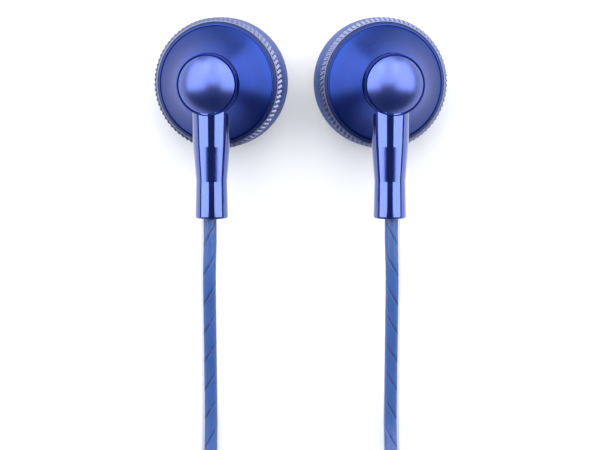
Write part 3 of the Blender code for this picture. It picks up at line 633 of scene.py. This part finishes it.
# ---------------------------------------------------------------------------------------------
# The stem: an aluminium tube turned in three tapers with crisp steps of angle between them. Its
# root is milled to fit round the boss, and its end is rounded and closed by a rubber bush.
STEM_ROOT, STEM_ROOT_R = 2.2 * MM, 2.6 * MM
STEM_STEP, STEM_STEP_R = 7.97 * MM, 2.39 * MM
STEM_WAIST, STEM_WAIST_R = 12.54 * MM, 2.015 * MM
STEM_END_R = 2.145 * MM
STEM_BORE_R, BUSH_R, BUSH_START = 0.95 * MM, 1.7 * MM, 14.5 * MM
STEM_FINISH = {
    side: anodised(side + "_stem_finish", POLISHED_BLUE, 0.10, 1.8, PLACES[side], 0.002 * MM, STEM_TURN)
    for side in PLACES
}


def down_stem(place):
    """The stem's frame in an earphone's: +Z runs down the stem from the earphone's axis."""
    return place @ Matrix.Translation((0, 0, STEM_Z)) @ Matrix.Rotation(STEM_TURN, 4, "X")


for side, place in PLACES.items():
    tube = rounded(
        [
            (BUSH_R + FIT, STEM_END, 0.05 * MM),
            (STEM_END_R, STEM_END, 0.3 * MM),
            (STEM_WAIST_R, STEM_WAIST, 0.03 * MM),
            (STEM_STEP_R, STEM_STEP, 0.03 * MM),
            (STEM_ROOT_R, STEM_ROOT, 0.0),
            (STEM_BORE_R, STEM_ROOT, 0.0),
            (STEM_BORE_R, BUSH_START - 2 * FIT, 0.0),
            (BUSH_R + FIT, BUSH_START - 2 * FIT, 0.0),
        ]
    )
    stem = piece_of(turned(tube), side + "_stem_tube", STEM_FINISH[side], down_stem(place))
    settle(stem, "anodised_blue", side + "_stem")

# ---------------------------------------------------------------------------------------------
# The bush: moulded rubber in the stem's end. The cord leaves it on the side away from the middle.
BUSH_EDGE = 0.12 * MM
BUSH_SEGMENTS = 48
rubber, rubber_shader = new_finish("soft_rubber", (0.035, 0.06, 0.22), 0.55)
grain(rubber, rubber_shader, 1800.0, 0.004 * MM)


def looped(bm, loops):
    """Joins closed loops of edges in a row, each to the next and the last to the first."""
    for here, after in zip(loops, [*loops[1:], loops[0]]):
        bmesh.ops.bridge_loops(bm, edges=[*here, *after])


def ring_edges(bm, radius, height, centre=(0.0, 0.0)):
    """A circle of edges."""
    made = bmesh.ops.create_circle(bm, segments=BUSH_SEGMENTS, radius=radius)
    spot = Vector((*centre, height))
    bmesh.ops.translate(bm, verts=made["verts"], vec=spot)
    return list({edge for vert in made["verts"] for edge in vert.link_edges})


for side, place in PLACES.items():
    bm = bmesh.new()
    hole = (OUTWARDS[side] * BUSH_OFFSET, 0.0)
    face = STEM_END - 0.06 * MM
    loops = [
        ring_edges(bm, BUSH_R - BUSH_EDGE, face),
        ring_edges(bm, BUSH_R, face - BUSH_EDGE),
        ring_edges(bm, BUSH_R, BUSH_START),
        ring_edges(bm, CORD_R + 0.03 * MM, BUSH_START, hole),
        ring_edges(bm, CORD_R + 0.03 * MM, face - 0.1 * MM, hole),
        ring_edges(bm, CORD_R + BUSH_EDGE, face, hole),
    ]
    looped(bm, loops)
    bmesh.ops.recalc_face_normals(bm, faces=bm.faces)
    bush = piece_of(bm, side + "_bush", rubber, down_stem(place))
    settle(bush, "blue_rubber", side + "_cord_bush")

# ---------------------------------------------------------------------------------------------
# The trim ring: bright aluminium with a slanting knurl rolled into its side, its upper edge cut
# back to bare metal. It is pressed over the bell's rim.
silver, silver_shader = new_finish("bright_aluminium", (0.17, 0.19, 0.31), 0.40, 1.0)
grain(silver, silver_shader, 3000.0, 0.002 * MM, 0.05)
RING_R, RING_HOLE_R, RING_EDGE_R = RIM_R + 0.60 * MM, RIM_R + 0.03 * MM, RIM_R + 0.14 * MM
RING_TOP, RING_FOOT = -0.45 * MM, -1.40 * MM
RING_CONE = 0.45 * MM  # how deep the slanting part of its side is
RING_CUT = 0.15 * MM
CONE_STEPS = 6
TEETH, STEPS_PER_TOOTH = 80, 6
TOOTH_DEPTH, TOOTH_SLANT = 0.13 * MM, 0.10 * MM

for side, place in PLACES.items():
    edge = Vector((RING_EDGE_R, RING_TOP - 0.02 * MM))
    shoulder = Vector((RING_R, RING_TOP - RING_CONE))
    profile = [(RING_HOLE_R, RING_TOP), (RING_EDGE_R - 0.02 * MM, RING_TOP)]
    profile += [tuple(edge.lerp(shoulder, i / CONE_STEPS)) for i in range(CONE_STEPS + 1)]
    profile += [(RING_R, RING_FOOT + RING_CUT), (RING_R - RING_CUT, RING_FOOT), (RING_HOLE_R, RING_FOOT)]
    bm = turned(profile, TEETH * STEPS_PER_TOOTH)
    for vert in bm.verts:
        reach = math.hypot(vert.co.x, vert.co.y)
        if reach > RING_EDGE_R + 0.01 * MM and vert.co.z > RING_FOOT + 0.1 * MM:
            angle = math.atan2(vert.co.y, vert.co.x) * TEETH + vert.co.z / TOOTH_SLANT
            dip = TOOTH_DEPTH * (0.5 - 0.5 * math.cos(angle)) ** 0.7
            vert.co.x *= 1.0 - dip / reach
            vert.co.y *= 1.0 - dip / reach
            vert.co.z -= dip
    ring = piece_of(bm, side + "_trim_ring", silver, place, 50.0)
    settle(ring, "bright_aluminium", side + "_knurled_ring")

# ---------------------------------------------------------------------------------------------
# The front shell and the ear cushion: a moulded shell that carries the driver, and over it a
# soft silicone ring that is stretched on and hides the shell.
shell, shell_shader = new_finish("shell_plastic", (0.02, 0.03, 0.10), 0.4)
grain(shell, shell_shader, 2500.0, 0.004 * MM)
silicone, silicone_shader = new_finish("blue_silicone", (0.03, 0.06, 0.22), 0.6)
grain(silicone, silicone_shader, 1600.0, 0.006 * MM, 0.06)
SHELL_R, SHELL_WALL = RIM_R + 0.10 * MM, 0.6 * MM
SHELL_TOP, SHELL_FACE, DRIVER_LEDGE = -1.5 * MM, -6.05 * MM, -5.1 * MM
GRILLE_SEAT = SHELL_FACE + 0.4 * MM
CUSHION_R, CUSHION_HOLE_R = 8.55 * MM, 7.35 * MM
CUSHION_TOP, CUSHION_LIP = -1.6 * MM, -6.1 * MM

for side, place in PLACES.items():
    wall = rounded(
        [
            (SHELL_R, SHELL_TOP, 0.05 * MM),
            (SHELL_R, SHELL_FACE, 0.3 * MM),
            (SHELL_R - 0.80 * MM, SHELL_FACE, 0.05 * MM),
            (SHELL_R - 0.80 * MM, GRILLE_SEAT, 0.0),
            (SHELL_R - 1.55 * MM, GRILLE_SEAT, 0.0),
            (SHELL_R - 1.55 * MM, DRIVER_LEDGE, 0.0),
            (SHELL_R - SHELL_WALL, DRIVER_LEDGE, 0.0),
            (SHELL_R - SHELL_WALL, SHELL_TOP, 0.05 * MM),
        ]
    )
    case = piece_of(turned(wall), side + "_shell", shell, place)
    settle(case, "shell_plastic", side + "_front_shell")
    skin = rounded(
        [
            (CUSHION_R - 0.22 * MM, CUSHION_TOP, 0.12 * MM),
            (CUSHION_R - 0.01 * MM, -2.3 * MM, 0.5 * MM),
            (CUSHION_R, -4.2 * MM, 0.8 * MM),
            (CUSHION_R - 0.15 * MM, -5.5 * MM, 0.6 * MM),
            (CUSHION_R - 0.65 * MM, -6.42 * MM, 0.35 * MM),
            (CUSHION_HOLE_R, -6.45 * MM, 0.15 * MM),
            (CUSHION_HOLE_R, CUSHION_LIP, 0.0),
            (SHELL_R - 0.25 * MM, CUSHION_LIP, 0.0),
            (SHELL_R + FIT, -5.8 * MM, 0.0),
            (SHELL_R + FIT, CUSHION_TOP, 0.08 * MM),
        ],
        6,
    )
    cushion = piece_of(turned(skin), side + "_cushion", silicone, place, 60.0)
    settle(cushion, "blue_silicone", side + "_ear_cushion")

# ---------------------------------------------------------------------------------------------
# The grille: sheet steel punched with hexagonal holes, pressed into a shallow dome, with a plain
# turned edge that snaps into the front shell. A felt disc lies behind it.
GRILLE_R, GRILLE_CROWN, GRILLE_T = SHELL_R - 0.85 * MM, 1.8 * MM, 0.25 * MM
GRILLE_EDGE_Z = -5.70 * MM
EDGE_WIDTH = 0.85 * MM
HOLE_PITCH, HOLE_ROWS, HALF_WEB = 0.92 * MM, 8, 0.13 * MM
grille_finish, grille_shader = new_finish("grille_steel", (0.35, 0.36, 0.38), 0.3, 1.0)
grain(grille_finish, grille_shader, 3000.0, 0.003 * MM)


def crown(radius):
    """How far the grille's face stands out from its edge at a radius."""
    ball = (GRILLE_R**2 + GRILLE_CROWN**2) / (2 * GRILLE_CROWN)
    return math.sqrt(ball**2 - radius**2) - (ball - GRILLE_CROWN)


for side, place in PLACES.items():
    bm = bmesh.new()
    for row in range(-HOLE_ROWS, HOLE_ROWS + 1):
        for column in range(-HOLE_ROWS, HOLE_ROWS + 1):
            x = (column + 0.5 * (row % 2)) * HOLE_PITCH
            y = row * HOLE_PITCH * math.sqrt(3) / 2
            if math.hypot(x, y) < GRILLE_R - 0.6 * MM:
                spot = Matrix.Translation((x, y, 0.0)) @ Matrix.Rotation(math.pi / 6, 4, "Z")
                bmesh.ops.create_circle(
                    bm, segments=6, radius=HOLE_PITCH / math.sqrt(3), cap_ends=True, matrix=spot
                )
    bmesh.ops.remove_doubles(bm, verts=bm.verts, dist=0.02 * MM)
    holes = list(bm.faces)
    bmesh.ops.inset_individual(bm, faces=holes, thickness=HALF_WEB, use_even_offset=True)
    bmesh.ops.delete(bm, geom=holes, context="FACES")
    bmesh.ops.recalc_face_normals(bm, faces=bm.faces)
    bmesh.ops.solidify(bm, geom=bm.faces[:], thickness=GRILLE_T)
    for vert in bm.verts:
        vert.co.z += GRILLE_EDGE_Z - FIT - crown(min(math.hypot(vert.co.x, vert.co.y), GRILLE_R))
    bmesh.ops.recalc_face_normals(bm, faces=bm.faces)
    mesh_part = piece_of(bm, side + "_grille_mesh", grille_finish, place)
    settle(mesh_part, "grille_steel", side + "_front_grille")
    edge_r = GRILLE_R - EDGE_WIDTH
    band = rounded(
        [
            (edge_r, GRILLE_EDGE_Z - 0.08 * MM - crown(edge_r), 0.0),
            (edge_r, GRILLE_EDGE_Z - 0.42 * MM - crown(edge_r), 0.1 * MM),
            (GRILLE_R, GRILLE_EDGE_Z - 0.36 * MM, 0.1 * MM),
            (GRILLE_R, GRILLE_EDGE_Z, 0.0),
            (GRILLE_R - 0.25 * MM, GRILLE_EDGE_Z, 0.0),
        ]
    )
    settle(piece_of(turned(band), side + "_grille_edge", grille_finish, place), "grille_steel")

# ---------------------------------------------------------------------------------------------
# The splitter: a waisted aluminium barrel, turned with two fine grooves near each end, over a
# moulded rubber insert that grips the two branches above and the main cord below.
SPLITTER_WALL, SPLITTER_WAIST_R = 0.45 * MM, 2.7 * MM
SPLITTER_EDGE = 0.2 * MM  # the grip stops short of the barrel's ends
splitter_place = Matrix.Translation((0.0, SPLITTER_Y, SPLITTER_R))
splitter_along = splitter_place @ Matrix.Rotation(STEM_TURN, 4, "X")
splitter_finish = anodised(
    "splitter_anodised", POLISHED_BLUE, 0.16, 1.8, splitter_place, 0.002 * MM, STEM_TURN
)


def grooved(z, radius):
    """A groove's four corners round a turned piece, from the top down."""
    depth, half = 0.12 * MM, 0.16 * MM
    return [
        (radius, z + half, 0.02 * MM),
        (radius - depth, z + 0.6 * half, 0.0),
        (radius - depth, z - 0.6 * half, 0.0),
        (radius, z - half, 0.02 * MM),
    ]


inside = SPLITTER_R - SPLITTER_WALL
barrel = rounded(
    [
        (inside, SPLITTER_LENGTH, 0.04 * MM),
        (SPLITTER_R - 0.02 * MM, SPLITTER_LENGTH, 0.25 * MM),
        *grooved(12.7 * MM, SPLITTER_R - 0.04 * MM),
        *grooved(12.1 * MM, SPLITTER_R - 0.08 * MM),
        (SPLITTER_WAIST_R, SPLITTER_LENGTH / 2 + 0.6 * MM, 1.2 * MM),
        (SPLITTER_WAIST_R, SPLITTER_LENGTH / 2 - 0.6 * MM, 1.2 * MM),
        *grooved(1.9 * MM, SPLITTER_R - 0.08 * MM),
        *grooved(1.3 * MM, SPLITTER_R - 0.04 * MM),
        (SPLITTER_R - 0.02 * MM, 0.0, 0.25 * MM),
        (inside, 0.0, 0.04 * MM),
    ]
)
splitter = piece_of(turned(barrel), "splitter_shell", splitter_finish, splitter_along)
settle(splitter, "anodised_blue", "splitter_barrel")
insert = rounded(
    [
        (0.0, SPLITTER_LENGTH - SPLITTER_EDGE, 0.0),
        (inside - 0.03 * MM, SPLITTER_LENGTH - SPLITTER_EDGE, 0.12 * MM),
        (inside - 0.03 * MM, SPLITTER_EDGE, 0.12 * MM),
        (0.0, SPLITTER_EDGE, 0.0),
    ]
)
grip = piece_of(turned(insert), "splitter_grip", rubber, splitter_along)
settle(grip, "blue_rubber", "splitter_insert")

# ---------------------------------------------------------------------------------------------
# The plug: a turned aluminium barrel with a fine straight knurl, a ribbed rubber strain relief
# where the cord enters it, a black collar, and the 3.5 mm pin's three gold-plated contacts.
PLUG_R, PIN_R = 3.2 * MM, 1.75 * MM
PLUG_TEETH, PLUG_TOOTH_DEPTH = 48, 0.12 * MM
KNURL_FOOT, KNURL_TOP = 10.15 * MM, 17.15 * MM
RELIEF_LENGTH, RIBS, RIB_PITCH = 6.0 * MM, 5, 1.05 * MM
RELIEF_R, RELIEF_SPREAD = 1.5 * MM, 0.9 * MM  # at the cord, and how much wider it gets
PLUG_BORE_R = 2.25 * MM
PLUG_HEAD, PLUG_NECK = 19.05 * MM, 6.05 * MM
plug_place = Matrix.Translation((-15.9 * MM, -127.3 * MM, PLUG_R))
plug_along = plug_place @ Matrix.Rotation(STEM_TURN, 4, "X")
plug_finish = anodised("plug_anodised", POLISHED_BLUE, 0.2, 1.8, plug_place, 0.002 * MM, STEM_TURN)

spigot_r, spigot_top = PLUG_BORE_R - FIT, RELIEF_LENGTH + 3.0 * MM
relief = [(0.0, spigot_top, 0.0), (spigot_r, spigot_top, 0.0), (spigot_r, RELIEF_LENGTH, 0.0)]
relief.append((RELIEF_R + RELIEF_SPREAD, RELIEF_LENGTH, 0.12 * MM))
for rib in range(RIBS):
    z = RELIEF_LENGTH - 0.6 * MM - RIB_PITCH * rib
    radius = RELIEF_R + RELIEF_SPREAD * z / RELIEF_LENGTH
    relief += [
        (radius, z, 0.1 * MM),
        (radius - 0.32 * MM, z - 0.14 * MM, 0.1 * MM),
        (radius - 0.36 * MM, z - 0.48 * MM, 0.1 * MM),
        (radius - 0.10 * MM, z - 0.62 * MM, 0.1 * MM),
    ]
relief += [(1.42 * MM, 0.0, 0.15 * MM), (0.0, 0.0, 0.0)]
settle(
    piece_of(turned(rounded(relief, 3)), "plug_relief", rubber, plug_along), "blue_rubber",
    "plug_strain_relief",
)

shell_line = rounded(
    [
        (PLUG_BORE_R, PLUG_HEAD, 0.0),
        (PLUG_R - 0.02 * MM, PLUG_HEAD, 0.3 * MM),
        (PLUG_R - 0.02 * MM, 17.6 * MM, 0.05 * MM),
        (PLUG_R - 0.14 * MM, 17.45 * MM, 0.05 * MM),
        (PLUG_R - 0.14 * MM, 17.25 * MM, 0.05 * MM),
        (PLUG_R, 17.1 * MM, 0.05 * MM),
        (PLUG_R, 16.0 * MM, 0.0),
        (PLUG_R, 12.0 * MM, 0.0),
        (PLUG_R, 10.2 * MM, 0.05 * MM),
        (PLUG_R - 0.14 * MM, 10.05 * MM, 0.05 * MM),
        (PLUG_R - 0.14 * MM, 9.85 * MM, 0.05 * MM),
        (PLUG_R - 0.02 * MM, 9.7 * MM, 0.05 * MM),
        (PLUG_R - 0.02 * MM, 8.1 * MM, 0.4 * MM),
        (0.82 * PLUG_R, PLUG_NECK, 0.2 * MM),
        (PLUG_BORE_R, PLUG_NECK, 0.0),
    ]
)
bm = turned(shell_line, PLUG_TEETH * 4)
for vert in bm.verts:
    reach = math.hypot(vert.co.x, vert.co.y)
    if KNURL_FOOT < vert.co.z < KNURL_TOP and reach > PLUG_R - 0.05 * MM:
        wave = 0.5 - 0.5 * math.cos(math.atan2(vert.co.y, vert.co.x) * PLUG_TEETH)
        vert.co.x *= 1.0 - PLUG_TOOTH_DEPTH * wave / reach
        vert.co.y *= 1.0 - PLUG_TOOTH_DEPTH * wave / reach
settle(piece_of(bm, "plug_shell", plug_finish, plug_along), "anodised_blue", "plug_barrel")

black, black_shader = new_finish("black_plastic", (0.012, 0.012, 0.014), 0.38)
grain(black, black_shader, 2500.0, 0.004 * MM)
gold, gold_shader = new_finish("gold_plate", (0.83, 0.58, 0.22), 0.14, 1.0)
lathe_lines(gold, gold_shader, plug_place, 0.001 * MM, 9000.0, STEM_TURN)
PIN_SHOULDER = 19.9 * MM  # the plug stops here against a socket
PIN_START = 16.05 * MM
INSULATOR_R = PIN_R - 0.02 * MM
COLLAR_R = 2.55 * MM


def rod(radius, foot, top, foot_cut=0.0, top_cut=0.0):
    """The outline of a plain round bar."""
    return [(0.0, top, 0.0), (radius, top, top_cut), (radius, foot, foot_cut), (0.0, foot, 0.0)]


pin_pieces = {
    "plug_collar": (
        black, "black_plastic",
        [
            (PIN_R + FIT, PIN_SHOULDER, 0.05 * MM),
            (COLLAR_R, PIN_SHOULDER, 0.12 * MM),
            (COLLAR_R, PLUG_HEAD + FIT, 0.0),
            (PLUG_BORE_R - FIT, PLUG_HEAD + FIT, 0.0),
            (PLUG_BORE_R - FIT, PIN_START, 0.0),
            (PIN_R + FIT, PIN_START, 0.0),
        ],
    ),
    "plug_sleeve_contact": (gold, "gold_plate", rod(PIN_R, PIN_START, 27.08 * MM, 0.0, 0.06 * MM)),
    "plug_ring_insulator": (black, "black_plastic", rod(INSULATOR_R, 27.1 * MM, 27.6 * MM)),
    "plug_ring_contact": (gold, "gold_plate", rod(PIN_R, 27.62 * MM, 29.78 * MM, 0.06 * MM, 0.06 * MM)),
    "plug_tip_insulator": (black, "black_plastic", rod(INSULATOR_R, 29.8 * MM, 30.28 * MM)),
    "plug_tip_contact": (
        gold, "gold_plate",
        [
            (0.0, 33.9 * MM, 0.0),
            (0.45 * PIN_R, 33.9 * MM, 0.25 * MM),
            (0.98 * PIN_R, 32.4 * MM, 0.3 * MM),
            (0.72 * PIN_R, 31.4 * MM, 0.2 * MM),
            (PIN_R, 30.8 * MM, 0.06 * MM),
            (PIN_R, 30.3 * MM, 0.0),
            (0.0, 30.3 * MM, 0.0),
        ],
    ),
}
for node, (finish, slot, outline) in pin_pieces.items():
    pin_piece = piece_of(turned(rounded(outline), 64), node + "_turned", finish, plug_along)
    settle(pin_piece, slot, node)

# ---------------------------------------------------------------------------------------------
# The ties: a soft rubber strap round each coil's bundle, its ends overlapped and held by a stud.
TIE_WIDTH, TIE_T, TIE_GAP, TIE_ROUND = 5.0 * MM, 0.3 * MM, 0.2 * MM, 1.3 * MM
COIL_LAYERS = 4
COIL_TOP = COIL_BOTTOM + (COIL_LAYERS - 1) * TURN_PITCH + 2 * CORD_R
STUD_EDGE = 0.08 * MM

for name, centre, columns in (("branch", branch_centre, 2), ("main", main_centre, 3)):
    half = (columns - 1) * TURN_PITCH / 2 + CORD_R
    near = math.sqrt((COIL_MEAN_R - half) ** 2 - (TIE_WIDTH / 2) ** 2) - TIE_GAP - TIE_T
    far = COIL_MEAN_R + half + TIE_GAP + TIE_T
    low, high = 0.0, COIL_TOP + TIE_GAP + TIE_T
    corners = [(near, low), (far, low), (far, high), (near, high)]
    outline = rounded([(*corner, TIE_ROUND) for corner in corners], 6)
    bm = bmesh.new()
    verts = [bm.verts.new((-TIE_WIDTH / 2, -y, z)) for y, z in outline]
    edges = [bm.edges.new(pair) for pair in zip(verts, [*verts[1:], verts[0]])]
    wide = bmesh.ops.extrude_edge_only(bm, edges=edges)
    moved = [g for g in wide["geom"] if isinstance(g, bmesh.types.BMVert)]
    bmesh.ops.translate(bm, verts=moved, vec=(TIE_WIDTH, 0.0, 0.0))
    bmesh.ops.recalc_face_normals(bm, faces=bm.faces)
    bmesh.ops.solidify(bm, geom=bm.faces[:], thickness=TIE_T)
    bmesh.ops.recalc_face_normals(bm, faces=bm.faces)
    strap = piece_of(bm, name + "_strap", rubber, Matrix.Translation(centre))
    settle(strap, "blue_rubber", name + "_coil_tie")
    for part, radius, height in (("foot", 1.5 * MM, 0.35 * MM), ("head", 0.8 * MM, 0.75 * MM)):
        bm = bmesh.new()
        top = Matrix.Translation((0.0, -(near + far) / 2, high + height / 2 - 0.02 * MM))
        bmesh.ops.create_cone(
            bm, cap_ends=True, segments=32, radius1=radius, radius2=0.92 * radius, depth=height,
            matrix=top,
        )
        rims = [edge for edge in bm.edges if any(len(face.verts) > 4 for face in edge.link_faces)]
        bmesh.ops.bevel(
            bm, geom=rims, offset=STUD_EDGE, segments=2, profile=0.5, affect="EDGES", material=-1
        )
        stud = piece_of(bm, f"{name}_stud_{part}", rubber, Matrix.Translation(centre))
        settle(stud, "blue_rubber")

main_points()[0]

# ---------------------------------------------------------------------------------------------
# Inside each earphone: the moving-coil driver and its wires. They keep their plain shapes and
# take the finish of what each is made of.
inner_finishes = {
    "driver_basket": ("basket_plastic", (0.015, 0.015, 0.017), 0.45, 0.0, 2500.0),
    "yoke_cup": ("yoke_steel", (0.55, 0.55, 0.57), 0.3, 1.0, 1800.0),
    "magnet": ("magnet_nickel", (0.62, 0.60, 0.56), 0.22, 1.0, 1500.0),
    "pole_plate": ("pole_steel", (0.55, 0.55, 0.57), 0.3, 1.0, 1800.0),
    "damping_disc": ("damping_felt", (0.03, 0.03, 0.035), 0.9, 0.0, 6000.0),
    "voice_coil": ("coil_copper", (0.80, 0.36, 0.16), 0.28, 1.0, 9000.0),
    "diaphragm": ("diaphragm_film", (0.62, 0.60, 0.52), 0.25, 0.0, 900.0),
    "terminal_board": ("board_green", (0.012, 0.12, 0.045), 0.4, 0.0, 3000.0),
    "live_wire": ("live_enamel", (0.55, 0.10, 0.05), 0.3, 1.0, 4000.0),
    "return_wire": ("return_enamel", (0.70, 0.38, 0.14), 0.3, 1.0, 4000.0),
}
for node, (name, colour, rough, metal, scale) in inner_finishes.items():
    finish, shader = new_finish(name, colour, rough, metal)
    grain(finish, shader, scale, 0.004 * MM)
    for side in PLACES:
        inner = bpy.data.objects[f"{side}_{node}"]
        for slot in inner.material_slots:
            slot.material = finish

low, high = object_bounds()
